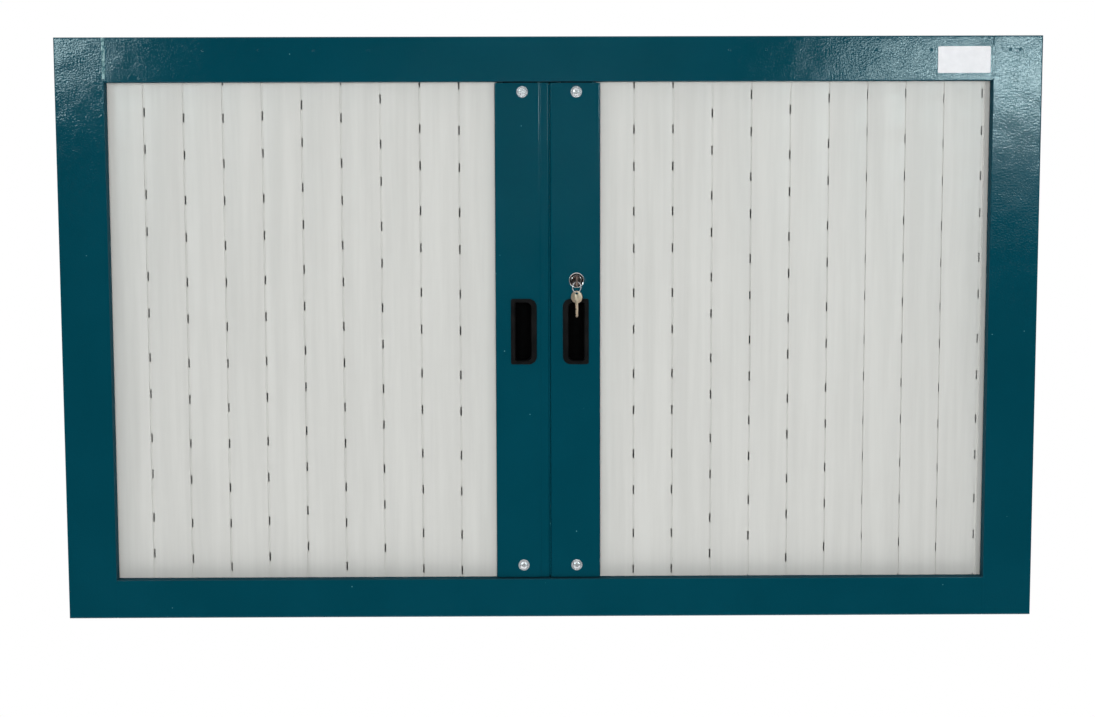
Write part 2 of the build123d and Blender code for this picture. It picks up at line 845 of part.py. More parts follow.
# Keys: the outline lies along +x of its plane, with the bow's centre at the origin

def key_shape(plane):
    blade_end = bow_radius + blade_length
    with BuildPart(mode=Mode.PRIVATE) as shape:
        with BuildSketch(plane.offset(-key_thickness / 2)):
            Circle(bow_radius)
            with BuildLine():
                Polyline(
                    (0, -blade_height / 2),
                    (blade_end - blade_tip, -blade_height / 2),
                    (blade_end, 0),
                    (blade_end - blade_tip, blade_height / 2),
                    (0, blade_height / 2),
                    close=True,
                )
            make_face()
            for number in range(key_notch_count):
                notch = blade_end - key_notch_from_tip - number * key_notch_pitch
                with BuildLine():
                    Polyline(
                        (notch - key_notch_depth, blade_height / 2),
                        (notch, blade_height / 2 - key_notch_depth),
                        (notch + key_notch_depth, blade_height / 2),
                        close=True,
                    )
                make_face(mode=Mode.SUBTRACT)
            with Locations((-key_hole_offset, 0)):
                Circle(key_hole_radius, mode=Mode.SUBTRACT)
        extrude(amount=key_thickness)
    return shape


bow_y = stile_face - bezel_height + plug_setback - bow_standoff - bow_radius
ring_y = bow_y - key_hole_offset
ring_top = lock_level - key_hole_radius + ring_wire_radius + ring_hang_gap
ring_level = ring_top - ring_radius
hang_level = ring_level - ring_radius
spare_hole = hang_level + ring_wire_radius + ring_hang_gap - key_hole_radius
spare_bow = spare_hole - key_hole_offset

key = key_shape(
    Plane((lock_from_meeting, bow_y, lock_level), x_dir=(0, 1, 0), z_dir=(1, 0, 0))
)
save(key, "key")

with BuildPart() as key_ring:
    across = Vector(cos(radians(ring_turn)), sin(radians(ring_turn)), 0)
    ring_normal = Vector(sin(radians(ring_turn)), -cos(radians(ring_turn)), 0)
    ring_centre = Vector(lock_from_meeting, ring_y, ring_level)
    wire_spot = ring_centre + across * ring_radius
    with BuildSketch(Plane(wire_spot, x_dir=across, z_dir=(0, 0, 1))):
        Circle(ring_wire_radius)
    revolve(axis=Axis(ring_centre, ring_normal), revolution_arc=360)
save(key_ring, "key_ring")

turn = radians(90 + spare_key_turn)
spare_key = key_shape(
    Plane(
        (lock_from_meeting, ring_y, spare_bow), x_dir=(0, 0, -1), z_dir=(cos(turn), sin(turn), 0)
    )
)
save(spare_key, "spare_key")
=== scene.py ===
import json
import math

import bmesh
import bpy
from mathutils import Matrix, Vector, noise


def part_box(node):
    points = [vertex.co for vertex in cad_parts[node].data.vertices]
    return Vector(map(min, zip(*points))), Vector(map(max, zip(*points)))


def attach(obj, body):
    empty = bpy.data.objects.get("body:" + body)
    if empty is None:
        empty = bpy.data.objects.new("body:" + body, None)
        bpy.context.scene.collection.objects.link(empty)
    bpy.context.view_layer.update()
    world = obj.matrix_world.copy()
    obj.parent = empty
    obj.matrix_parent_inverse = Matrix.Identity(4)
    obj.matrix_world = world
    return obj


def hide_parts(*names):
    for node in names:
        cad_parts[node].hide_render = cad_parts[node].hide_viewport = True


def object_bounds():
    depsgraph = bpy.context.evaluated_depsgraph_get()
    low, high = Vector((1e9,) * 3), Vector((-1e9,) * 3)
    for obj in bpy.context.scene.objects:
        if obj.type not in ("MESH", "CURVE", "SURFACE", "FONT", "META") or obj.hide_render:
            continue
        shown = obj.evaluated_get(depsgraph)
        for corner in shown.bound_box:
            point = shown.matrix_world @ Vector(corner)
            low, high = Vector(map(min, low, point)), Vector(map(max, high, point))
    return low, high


# The looks of a wall cabinet with two tambour doors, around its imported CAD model.
# Metres. +X runs to the right, -Y to the front and +Z up, as in the model.

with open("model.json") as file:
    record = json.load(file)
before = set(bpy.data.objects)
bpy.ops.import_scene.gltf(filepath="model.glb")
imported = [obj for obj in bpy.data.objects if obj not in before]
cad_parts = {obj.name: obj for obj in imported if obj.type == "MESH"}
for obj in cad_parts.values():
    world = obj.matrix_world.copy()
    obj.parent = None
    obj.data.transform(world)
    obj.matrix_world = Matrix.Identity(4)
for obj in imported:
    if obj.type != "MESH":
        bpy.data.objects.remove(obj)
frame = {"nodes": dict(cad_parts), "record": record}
cad_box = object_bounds()
nodes = frame["nodes"]

# Camera, from a fit to the corners of the cabinet in the photograph
image_width_px = 1095
focal_length_px = 1783.5
sensor_width_mm = 36.0
camera_place = (-0.01785, -2.43708, 0.17722)
camera_yaw = -0.0068
camera_pitch = 0.0963
camera_roll = -0.0028

# Floor and world
floor_drop = 1.1
floor_radius = 9.0
floor_segments = 96
floor_fade_from = 2.0
floor_fade_to = 2.7
floor_grey = 0.82
fill_strength = 0.3
fill_colour = (0.95, 0.98, 1.0)

# Dark card that only reflections show
card_front = -3.3
card_side = 2.3
card_back = 0.6
card_top = 1.6
card_grey = 0.012

# Lamps that light the cabinet: name, place, size and the white of the lamp's surface
light_target = (0, -0.12, 0)
lights = (
    ("front_light", (0.0, -2.9, 0.3), (0.9, 0.7), 21.8),
    ("left_light", (-3.2, 0.5, 0.6), (1.6, 1.2), 12.0),
    ("right_light", (3.2, 0.5, 0.6), (1.6, 1.2), 12.0),
    ("back_light", (0, 3.2, 0.6), (1.6, 1.2), 12.0),
    ("top_light", (0, 0.6, 3.0), (1.6, 1.2), 12.0),
)

# Lamps that only reflections show: name, left, right, bottom, top and the same white
sheen_plane_y = -2.6
sheen_tint = (0.73, 0.97, 1.0)
sheens = (
    ("left_sheen", -1.75, -1.15, 0.51, 0.95, 26.0),
    ("right_sheen_core", 1.05, 1.6, 0.435, 0.505, 68.0),
    ("right_sheen_above", 0.95, 1.6, 0.505, 0.85, 2.6),
    ("right_sheen_inner", 0.77, 1.05, 0.36, 0.52, 17.0),
    ("right_sheen_below", 1.05, 1.6, 0.16, 0.435, 2.6),
)


# Objects and shader nodes

def add_object(name, data):
    item = bpy.data.objects.new(name, data)
    bpy.context.scene.collection.objects.link(item)
    return item


def add_node(tree, kind, **settings):
    node = tree.nodes.new(kind)
    for key, value in settings.items():
        setattr(node, key, value)
    return node


def empty_tree(owner):
    """The node tree of a material or a world, without the nodes that it starts with."""
    owner.use_nodes = True
    owner.node_tree.nodes.clear()
    return owner.node_tree


def is_one_of(tree, *rays):
    """1 for the kinds of ray named and 0 for the rest."""
    path = add_node(tree, "ShaderNodeLightPath")
    total = path.outputs[rays[0]]
    for ray in rays[1:]:
        larger = add_node(tree, "ShaderNodeMath", operation="MAXIMUM")
        tree.links.new(total, larger.inputs[0])
        tree.links.new(path.outputs[ray], larger.inputs[1])
        total = larger.outputs[0]
    return total


def mix_to_output(tree, share, first, second, output_kind):
    """Ends a tree with a mix of two shaders."""
    mix = add_node(tree, "ShaderNodeMixShader")
    tree.links.new(share, mix.inputs[0])
    tree.links.new(first.outputs[0], mix.inputs[1])
    tree.links.new(second.outputs[0], mix.inputs[2])
    output = add_node(tree, output_kind)
    tree.links.new(mix.outputs[0], output.inputs["Surface"])


# Camera, floor and light

def make_camera():
    right = Vector((math.cos(camera_yaw), math.sin(camera_yaw), 0))
    forward = Vector((
        -math.sin(camera_yaw) * math.cos(camera_pitch),
        math.cos(camera_yaw) * math.cos(camera_pitch),
        -math.sin(camera_pitch),
    ))
    up = right.cross(forward)
    rolled_right = right * math.cos(camera_roll) + up * math.sin(camera_roll)
    rolled_up = up * math.cos(camera_roll) - right * math.sin(camera_roll)
    data = bpy.data.cameras.new("camera")
    data.sensor_fit = "HORIZONTAL"
    data.sensor_width = sensor_width_mm
    data.lens = focal_length_px / image_width_px * sensor_width_mm
    camera = add_object("camera", data)
    turn = Matrix((rolled_right, rolled_up, -forward)).transposed().to_4x4()
    camera.matrix_world = Matrix.Translation(camera_place) @ turn
    bpy.context.scene.camera = camera


def softbox(name, place, target, size, brightness, mirrored, tint=(1, 1, 1)):
    """A rectangular lamp that faces a target. It is either mirrored in glossy surfaces
    or lights the rest, and its brightness is the white of its surface."""
    data = bpy.data.lights.new(name, "AREA")
    data.shape = "RECTANGLE"
    data.size, data.size_y = size
    data.energy = math.pi * size[0] * size[1] * brightness
    data.color = tint
    lamp = add_object(name, data)
    lamp.location = place
    direction = Vector(target) - Vector(place)
    lamp.rotation_euler = direction.to_track_quat("-Z", "Y").to_euler()
    lamp.visible_camera = False
    lamp.visible_glossy = mirrored
    lamp.visible_diffuse = not mirrored


def make_lamps():
    for name, place, size, brightness in lights:
        softbox(name, place, light_target, size, brightness, mirrored=False)
    for name, left, right, bottom, top, brightness in sheens:
        place = ((left + right) / 2, sheen_plane_y, (bottom + top) / 2)
        target = (place[0], 0, place[2])
        size = (right - left, top - bottom)
        softbox(name, place, target, size, brightness, mirrored=True, tint=sheen_tint)


def make_dark_card():
    """The unlit room behind and beside the camera, which only reflections show."""
    mesh = bpy.data.meshes.new("dark_card")
    floor_z = cad_box[0].z - floor_drop
    outline = [
        (-card_side, card_back), (-card_side, card_front),
        (card_side, card_front), (card_side, card_back),
    ]
    corners = [(x, y, z) for z in (floor_z, card_top) for x, y in outline]
    mesh.from_pydata(corners, [], [(0, 1, 5, 4), (1, 2, 6, 5), (2, 3, 7, 6)])
    card = add_object("dark_card", mesh)
    card.visible_camera = False
    card.visible_diffuse = False
    card.visible_transmission = False
    card.visible_shadow = False
    material = bpy.data.materials.new("dark_card")
    tree = empty_tree(material)
    dark = add_node(tree, "ShaderNodeEmission")
    dark.inputs["Color"].default_value = (card_grey, card_grey, card_grey, 1)
    dark.inputs["Strength"].default_value = 1.0
    output = add_node(tree, "ShaderNodeOutputMaterial")
    tree.links.new(dark.outputs[0], output.inputs["Surface"])
    mesh.materials.append(material)


def make_world():
    """White where the camera or a reflection looks at it, a dimmer fill for the rest."""
    world = bpy.data.worlds.new("studio")
    tree = empty_tree(world)
    seen = is_one_of(tree, "Is Camera Ray", "Is Glossy Ray", "Is Transmission Ray")
    fill = add_node(tree, "ShaderNodeBackground")
    fill.inputs["Color"].default_value = (*fill_colour, 1)
    fill.inputs["Strength"].default_value = fill_strength
    white = add_node(tree, "ShaderNodeBackground")
    white.inputs["Color"].default_value = (1, 1, 1, 1)
    white.inputs["Strength"].default_value = 1.0
    mix_to_output(tree, seen, fill, white, "ShaderNodeOutputWorld")
    bpy.context.scene.world = world


def make_floor():
    """A pale floor that fades into the white background away from the cabinet."""
    mesh = bpy.data.meshes.new("floor")
    shape = bmesh.new()
    bmesh.ops.create_circle(shape, cap_ends=True, radius=floor_radius, segments=floor_segments)
    shape.to_mesh(mesh)
    shape.free()
    floor = add_object("floor", mesh)
    floor.location = (0, 0, cad_box[0].z - floor_drop)
    material = bpy.data.materials.new("floor")
    tree = empty_tree(material)
    plain = add_node(tree, "ShaderNodeBsdfDiffuse")
    plain.inputs["Color"].default_value = (floor_grey, floor_grey, floor_grey, 1)
    place = add_node(tree, "ShaderNodeTexCoord")
    length = add_node(tree, "ShaderNodeVectorMath", operation="LENGTH")
    tree.links.new(place.outputs["Object"], length.inputs[0])
    fade = add_node(tree, "ShaderNodeMapRange", interpolation_type="SMOOTHSTEP")
    fade.inputs["From Min"].default_value = floor_fade_from
    fade.inputs["From Max"].default_value = floor_fade_to
    tree.links.new(length.outputs["Value"], fade.inputs["Value"])
    white = add_node(tree, "ShaderNodeEmission")
    white.inputs["Strength"].default_value = 1.0
    share = add_node(tree, "ShaderNodeMath", operation="MULTIPLY")
    tree.links.new(fade.outputs["Result"], share.inputs[0])
    tree.links.new(is_one_of(tree, "Is Camera Ray", "Is Glossy Ray"), share.inputs[1])
    mix_to_output(tree, share.outputs[0], plain, white, "ShaderNodeOutputMaterial")
    mesh.materials.append(material)


# Materials. A finish is a principled shader whose colour, roughness and relief come
# from noise in the piece's own coordinates.

rail_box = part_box("frame_top_rail")
bottom_rail_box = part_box("frame_bottom_rail")
mask_fade = 0.0002
rim_roughness = 0.9
case_roughness = 0.42
cup_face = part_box("left_handle_cup")[0].y
# Depths behind the cup's face between which the pocket's painted shade comes in
pocket_shade_start = 0.0012
pocket_depth = 0.004
noise_low = 0.3
noise_high = 0.7


class Finish:
    """A material under construction, with the few kinds of pattern that the finishes share."""

    def __init__(self, name, base, roughness, metallic=0.0, specular=0.5):
        self.material = bpy.data.materials.new(name)
        self.tree = empty_tree(self.material)
        self.shader = add_node(self.tree, "ShaderNodeBsdfPrincipled")
        self.shader.inputs["Base Color"].default_value = (*base, 1)
        self.shader.inputs["Roughness"].default_value = roughness
        self.shader.inputs["Metallic"].default_value = metallic
        self.shader.inputs["Specular IOR Level"].default_value = specular
        self.place = add_node(self.tree, "ShaderNodeTexCoord").outputs["Object"]
        output = add_node(self.tree, "ShaderNodeOutputMaterial")
        self.link(self.shader.outputs[0], output.inputs["Surface"])
        self.material.diffuse_color = (*base, 1)

    def link(self, start, end):
        self.tree.links.new(start, end)

    def noise(self, size, detail=2.0, roughness=0.5, stretch=(1, 1, 1)):
        """Noise whose features are about one size across, in metres, drawn out by stretch."""
        mapping = add_node(self.tree, "ShaderNodeMapping")
        mapping.inputs["Scale"].default_value = [1 / (size * factor) for factor in stretch]
        self.link(self.place, mapping.inputs["Vector"])
        texture = add_node(self.tree, "ShaderNodeTexNoise")
        texture.inputs["Scale"].default_value = 1.0
        texture.inputs["Detail"].default_value = detail
        texture.inputs["Roughness"].default_value = roughness
        self.link(mapping.outputs[0], texture.inputs["Vector"])
        return texture.outputs["Fac"]

    def specks(self, size, share):
        """1 in the middle of scattered specks and 0 elsewhere."""
        mapping = add_node(self.tree, "ShaderNodeMapping")
        mapping.inputs["Scale"].default_value = [1 / size] * 3
        self.link(self.place, mapping.inputs["Vector"])
        cells = add_node(self.tree, "ShaderNodeTexVoronoi")
        cells.inputs["Scale"].default_value = 1.0
        self.link(mapping.outputs[0], cells.inputs["Vector"])
        return self.range(cells.outputs["Distance"], share, share * 0.5, 0, 1)

    def range(self, value, low, high, to_low, to_high):
        node = add_node(self.tree, "ShaderNodeMapRange")
        node.inputs["From Min"].default_value = low
        node.inputs["From Max"].default_value = high
        node.inputs["To Min"].default_value = to_low
        node.inputs["To Max"].default_value = to_high
        self.link(value, node.inputs["Value"])
        return node.outputs["Result"]

    def spread(self, value, to_low, to_high):
        """A noise drawn out to run between two values."""
        return self.range(value, noise_low, noise_high, to_low, to_high)

    def colours(self, value, low_colour, high_colour, low=0.35, high=0.65):
        """A colour that runs from one to another as the value rises."""
        mix = add_node(self.tree, "ShaderNodeMix", data_type="RGBA")
        self.link(self.range(value, low, high, 0, 1), mix.inputs["Factor"])
        mix.inputs["A"].default_value = (*low_colour, 1)
        mix.inputs["B"].default_value = (*high_colour, 1)
        return mix.outputs["Result"]

    def over(self, under, value, colour):
        """A colour laid over another where the value is 1."""
        mix = add_node(self.tree, "ShaderNodeMix", data_type="RGBA")
        self.link(value, mix.inputs["Factor"])
        self.link(under, mix.inputs["A"])
        mix.inputs["B"].default_value = (*colour, 1)
        return mix.outputs["Result"]

    def within(self, half_width, bottom, top):
        """1 at points between two sides and between two levels, 0 elsewhere."""
        split = add_node(self.tree, "ShaderNodeSeparateXYZ")
        self.link(self.place, split.inputs[0])
        aside = add_node(self.tree, "ShaderNodeMath", operation="ABSOLUTE")
        self.link(split.outputs["X"], aside.inputs[0])
        parts = [
            self.range(aside.outputs[0], half_width, half_width + mask_fade, 1, 0),
            self.range(split.outputs["Z"], bottom - mask_fade, bottom, 0, 1),
            self.range(split.outputs["Z"], top, top + mask_fade, 1, 0),
        ]
        total = parts[0]
        for part in parts[1:]:
            total = self.combine("MULTIPLY", total, part)
        return total

    def combine(self, operation, first, second):
        node = add_node(self.tree, "ShaderNodeMath", operation=operation)
        self.link(first, node.inputs[0])
        self.link(second, node.inputs[1])
        return node.outputs[0]

    def set(self, socket, value):
        self.link(value, self.shader.inputs[socket])

    def relief(self, height, depth, under=None):
        """A bump of a given depth in metres, on top of an earlier one."""
        bump = add_node(self.tree, "ShaderNodeBump")
        bump.inputs["Strength"].default_value = 1.0
        bump.inputs["Distance"].default_value = depth
        self.link(height, bump.inputs["Height"])
        if under is not None:
            self.link(under, bump.inputs["Normal"])
        return bump.outputs["Normal"]


def cabinet_paint(name="cabinet_paint", roughness=0.1, dull_rims=False):
    """Dark teal powder coat with an orange-peel surface and a few paint specks. It can
    be dull on the rims of the opening, so that they don't mirror the slats beside them."""
    finish = Finish(name, (0.0004, 0.052, 0.077), roughness, specular=0.28)
    tone = finish.colours(
        finish.noise(0.09, detail=3), (0.0002, 0.05, 0.074), (0.0006, 0.054, 0.08)
    )
    specks = finish.specks(size=0.03, share=0.028)
    finish.set("Base Color", finish.over(tone, specks, (0.1, 0.3, 0.33)))
    gloss = finish.spread(finish.noise(0.004, detail=1), 0.8 * roughness, 1.2 * roughness)
    if dull_rims:
        rims = finish.within(
            rail_box[1].x + mask_fade,
            bottom_rail_box[1].z - mask_fade,
            rail_box[0].z + mask_fade,
        )
        gloss = finish.combine("ADD", gloss, finish.range(rims, 0, 1, 0, rim_roughness))
    finish.set("Roughness", gloss)
    waves = finish.relief(finish.noise(0.03, detail=1), depth=0.0004)
    peel = finish.relief(finish.noise(0.0021, detail=1), depth=0.00012, under=waves)
    finish.set("Normal", peel)
    return finish.material


def painted_seam_highlight():
    """Pale colour on a seam: a painted highlight that stands in for the light the seam catches."""
    finish = Finish("painted_seam_highlight", (0.12, 0.26, 0.27), 0.3, specular=0.3)
    finish.set("Base Color", finish.colours(
        finish.noise(0.004, detail=3), (0.01, 0.09, 0.11), (0.24, 0.4, 0.4), low=0.4, high=0.6
    ))
    finish.set("Roughness", finish.spread(finish.noise(0.003), 0.2, 0.4))
    finish.set("Normal", finish.relief(finish.noise(0.003, detail=2), depth=0.0001))
    return finish.material


def inner_paint():
    """Pale grey powder coat on what lies inside the cabinet."""
    finish = Finish("inner_paint", (0.55, 0.56, 0.55), 0.45, specular=0.35)
    finish.set("Base Color", finish.colours(
        finish.noise(0.06, detail=3), (0.52, 0.53, 0.52), (0.57, 0.58, 0.57)
    ))
    finish.set("Roughness", finish.spread(finish.noise(0.005), 0.4, 0.52))
    finish.set("Normal", finish.relief(finish.noise(0.0015, detail=1), depth=0.00012))
    return finish.material


def slat_plastic():
    """Light grey extruded plastic, with soft draw streaks along the slat."""
    finish = Finish("slat_plastic", (0.62, 0.615, 0.6), 0.36, specular=0.3)
    streaks = finish.noise(0.014, detail=4, roughness=0.6, stretch=(1, 1, 22))
    finish.set("Base Color", finish.colours(streaks, (0.59, 0.59, 0.562), (0.64, 0.64, 0.61)))
    finish.set("Roughness", finish.spread(finish.noise(0.02, detail=3), 0.3, 0.42))
    draw = finish.relief(finish.noise(0.002, detail=2, stretch=(1, 1, 200)), depth=0.00001)
    waves = finish.noise(0.03, detail=1, stretch=(1, 1, 6))
    finish.set("Normal", finish.relief(waves, depth=0.0002, under=draw))
    return finish.material


def black_plastic(name, tone, roughness):
    finish = Finish(name, (tone,) * 3, roughness, specular=0.06)
    finish.set("Base Color", finish.colours(
        finish.noise(0.015, detail=3), (tone * 0.8,) * 3, (tone * 1.3,) * 3
    ))
    finish.set("Roughness", finish.spread(
        finish.noise(0.003), roughness - 0.06, roughness + 0.08
    ))
    finish.set("Normal", finish.relief(finish.noise(0.0006, detail=1), depth=0.00003))
    return finish.material


def handle_plastic():
    """Black plastic whose flange tone is lifted, partly a painted highlight of its sheen, and
    whose pocket darkens behind it as painted shade.
    """
    finish = Finish("handle_plastic", (0.002, 0.002, 0.002), 0.36, specular=0.06)
    split = add_node(finish.tree, "ShaderNodeSeparateXYZ")
    finish.link(finish.place, split.inputs[0])
    # Painted shade: 0 on the flange, rising to 1 deeper in the pocket.
    depth = finish.range(
        split.outputs["Y"], cup_face + pocket_shade_start, cup_face + pocket_depth, 0, 1
    )
    # Flange tone: the plastic's own tone, lifted to stand in for its sheen as a painted highlight.
    surface_look = finish.colours(
        finish.noise(0.012, detail=3), (0.0045, 0.0048, 0.005), (0.0085, 0.0085, 0.0086)
    )
    # The pocket's near-black colour is painted shade, laid over the flange tone.
    finish.set("Base Color", finish.over(surface_look, depth, (0.0003, 0.0002, 0.0002)))
    finish.set("Roughness", finish.spread(finish.noise(0.003), 0.3, 0.44))
    finish.set("Normal", finish.relief(finish.noise(0.0006, detail=1), depth=0.00002))
    return finish.material


def plated_metal(name, light, dark, roughness, grain, metallic=1.0):
    """Plated steel: a faint change of tint and roughness over a fine grain."""
    finish = Finish(name, light, roughness, metallic=metallic)
    finish.set("Base Color", finish.colours(finish.noise(0.006, detail=3), dark, light))
    finish.set("Roughness", finish.spread(
        finish.noise(0.0012, detail=3), 0.7 * roughness, 1.4 * roughness
    ))
    finish.set("Normal", finish.relief(finish.noise(grain, detail=1), depth=0.015 * grain))
    return finish.material


def drawn_aluminium():
    """Bare aluminium with fine lines along the track."""
    finish = Finish("track_aluminium", (0.72, 0.72, 0.73), 0.35, metallic=1.0)
    lines = finish.noise(0.001, detail=2, stretch=(200, 1, 1))
    finish.set("Base Color", finish.colours(lines, (0.66, 0.66, 0.67), (0.76, 0.76, 0.77)))
    finish.set("Roughness", finish.spread(lines, 0.28, 0.42))
    finish.set("Normal", finish.relief(lines, depth=0.00001))
    return finish.material


def label_white():
    finish = Finish("label_white", (0.84, 0.85, 0.87), 0.5, specular=0.1)
    finish.set("Base Color", finish.colours(
        finish.noise(0.01, detail=3), (0.81, 0.82, 0.84), (0.86, 0.87, 0.89)
    ))
    finish.set("Roughness", finish.spread(finish.noise(0.004), 0.44, 0.58))
    finish.set("Normal", finish.relief(finish.noise(0.006, detail=1), depth=0.00004))
    return finish.material


def dress_nodes():
    """Gives each CAD node its finish, and returns the finishes by material slot."""
    finishes = {
        "cabinet_paint": cabinet_paint(),
        "inner_paint": inner_paint(),
        "slat_plastic": slat_plastic(),
        "handle_plastic": handle_plastic(),
        "guide_plastic": black_plastic("guide_plastic", 0.015, 0.45),
        "track_aluminium": drawn_aluminium(),
        "zinc_plate": plated_metal(
            "zinc_plate", (0.84, 0.86, 0.87), (0.7, 0.72, 0.74), 0.26, 0.0007, 0.65
        ),
        "lock_nickel": plated_metal(
            "lock_nickel", (0.86, 0.85, 0.83), (0.74, 0.73, 0.72), 0.16, 0.0009, 0.8
        ),
        "key_steel": plated_metal(
            "key_steel", (0.88, 0.65, 0.48), (0.66, 0.49, 0.36), 0.42, 0.0008
        ),
        "label_white": label_white(),
    }
    frame_paint = cabinet_paint("frame_paint", dull_rims=True)
    case_paint = cabinet_paint("case_paint", case_roughness)
    for subpart in frame["record"]["subparts"]:
        mesh = nodes[subpart["node"]].data
        mesh.materials.clear()
        finish = finishes[subpart["material_slot"]]
        if subpart["node"].startswith("frame_"):
            finish = frame_paint
        if subpart["node"].endswith("_panel"):
            finish = case_paint
        mesh.materials.append(finish)
    return finishes


finishes = dress_nodes()


# Pieces in mesh code. Forms that stand on a face are turned about an axis along Y, and
# their profiles are pairs of radius and height out of the face.

turned_steps = 72
smooth_angle = math.radians(35)


def add_piece(name, mesh, body, slot, *replaced, finish=None):
    """A piece of the cabinet, in place of the CAD nodes named last."""
    mesh.name = name
    mesh.materials.clear()
    mesh.materials.append(finish or finishes[slot])
    mesh.shade_smooth()
    mesh.set_sharp_from_angle(angle=smooth_angle)
    piece = add_object(name, mesh)
    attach(piece, body)
    if replaced:
        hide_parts(*replaced)


def mesh_of(shape, name):
    bmesh.ops.recalc_face_normals(shape, faces=shape.faces)
    mesh = bpy.data.meshes.new(name)
    shape.to_mesh(mesh)
    shape.free()
    return mesh


def add_turned(shape, centre, profile, closed=False):
    """Adds a turned form around a point of the face. A closed profile makes a ring."""
    rings = []
    full_circle = [2 * math.pi * step / turned_steps for step in range(turned_steps)]
    for radius, height in profile:
        turns = full_circle if radius else [0]
        rings.append([
            shape.verts.new((
                centre.x + radius * math.cos(turn),
                centre.y - height,
                centre.z + radius * math.sin(turn),
            )) for turn in turns
        ])
    following = rings[1:] + (rings[:1] if closed else [])
    for ring, next_ring in zip(rings, following):
        for step in range(turned_steps):
            after = (step + 1) % turned_steps
            corners = [ring[step % len(ring)], ring[after % len(ring)]]
            corners += [next_ring[after % len(next_ring)], next_ring[step % len(next_ring)]]
            shape.faces.new(dict.fromkeys(corners))


def final_mesh(item):
    """The mesh of an object with its modifiers or its thickness."""
    bpy.context.view_layer.update()
    view = bpy.context.evaluated_depsgraph_get()
    return bpy.data.meshes.new_from_object(item.evaluated_get(view))


def cut_box(mesh, low, high):
    """The mesh without a box."""
    tool_shape = bmesh.new()
    bmesh.ops.create_cube(tool_shape, size=1)
    for vertex in tool_shape.verts:
        for axis in range(3):
            vertex.co[axis] = high[axis] if vertex.co[axis] > 0 else low[axis]
    tool = add_object("cut_tool", mesh_of(tool_shape, "cut_tool"))
    target = add_object("cut_target", mesh)
    change = target.modifiers.new("cut", "BOOLEAN")
    change.operation = "DIFFERENCE"
    change.object = tool
    result = final_mesh(target)
    for item in (tool, target):
        bpy.data.objects.remove(item)
    return result


def curve_mesh(curve):
    """The mesh of a curve with its thickness."""
    holder = add_object("curve_holder", curve)
    mesh = final_mesh(holder)
    bpy.data.objects.remove(holder)
    return mesh


def add_spline(curve, points, cyclic):
    spline = curve.splines.new("POLY")
    spline.points.add(len(points) - 1)
    for spot, point in zip(spline.points, points):
        spot.co = (*point, 1)
    spline.use_cyclic_u = cyclic


def middle(box):
    return (box[0] + box[1]) / 2


# Lock

stile_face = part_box("right_lead_stile")[0].y
lock_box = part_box("lock_body")
lock_centre = Vector((middle(lock_box).x, stile_face, middle(lock_box).z))
bezel_radius = (lock_box[1].x - lock_box[0].x) / 2
bezel_height = stile_face - lock_box[0].y
barrel_length = lock_box[1].y - stile_face
barrel_radius = 0.008
lip_width = 0.0014
recess_height = 0.3 * bezel_height
recess_shade_height = 0.38 * bezel_height
running_gap = 0.0001
plug_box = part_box("lock_plug")
plug_radius = (plug_box[1].x - plug_box[0].x) / 2
plug_height = stile_face - plug_box[0].y
plug_length = plug_box[1].y - stile_face
plug_edge = 0.0005
dish_radius = 0.0042
dish_depth = 0.0006
tail_radius = 0.003
keyway_gap = 0.00015
key_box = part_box("key")
blade_height = 0.0034


def make_bezel():
    """The lock's turned body, with a bright lip around a recess, whose floor is a black ring that
    stands in for the recess's shade.
    """
    lip = bezel_radius - lip_width
    bore = plug_radius + running_gap
    shape = bmesh.new()
    add_turned(shape, lock_centre, [
        (bezel_radius, 0),
        (bezel_radius, 0.6 * bezel_height),
        (bezel_radius - 0.12 * lip_width, 0.82 * bezel_height),
        (bezel_radius - 0.3 * lip_width, 0.96 * bezel_height),
        (bezel_radius - 0.5 * lip_width, bezel_height),
        (bezel_radius - 0.75 * lip_width, 0.95 * bezel_height),
        (lip, 0.75 * bezel_height),
        (lip, recess_height),
        (bore, recess_height),
        (bore, -barrel_length),
        (barrel_radius, -barrel_length),
        (barrel_radius, 0),
    ], closed=True)
    add_piece("lock_bezel", mesh_of(shape, "bezel"), "right_door", "lock_nickel", "lock_body")
    # A black ring on the floor of the recess: painted shade in the recess.
    shape = bmesh.new()
    add_turned(shape, lock_centre, [
        (lip - running_gap, recess_height),
        (lip - running_gap, recess_shade_height),
        (bore + running_gap, recess_shade_height),
        (bore + running_gap, recess_height),
    ], closed=True)
    add_piece("recess_shade_ring", mesh_of(shape, "recess_shade"), "right_door", "handle_plastic")


def make_plug():
    """The turning plug, with a raised rim, a dished middle and its keyway."""
    shape = bmesh.new()
    add_turned(shape, lock_centre, [
        (0, plug_height - dish_depth),
        (dish_radius - dish_depth, plug_height - dish_depth),
        (dish_radius, plug_height - 0.2 * dish_depth),
        (dish_radius + plug_edge, plug_height),
        (plug_radius - plug_edge, plug_height),
        (plug_radius - 0.3 * plug_edge, plug_height - 0.3 * plug_edge),
        (plug_radius, plug_height - plug_edge),
        (plug_radius, -barrel_length),
        (tail_radius, -barrel_length),
        (tail_radius, -plug_length),
        (0, -plug_length),
    ])
    half_width = (key_box[1].x - key_box[0].x) / 2 + keyway_gap
    half_height = blade_height / 2 + 2 * keyway_gap
    low = (lock_centre.x - half_width, plug_box[0].y - plug_edge, lock_centre.z - half_height)
    high = (lock_centre.x + half_width, key_box[1].y + plug_edge, lock_centre.z + half_height)
    mesh = cut_box(mesh_of(shape, "plug"), low, high)
    surface_look = plated_metal("worn_nickel", (0.52, 0.43, 0.41), (0.3, 0.25, 0.24), 0.2, 0.0008)
    add_piece("turning_plug", mesh, "lock_barrel", "lock_nickel", "lock_plug", finish=surface_look)


# Keys and their ring

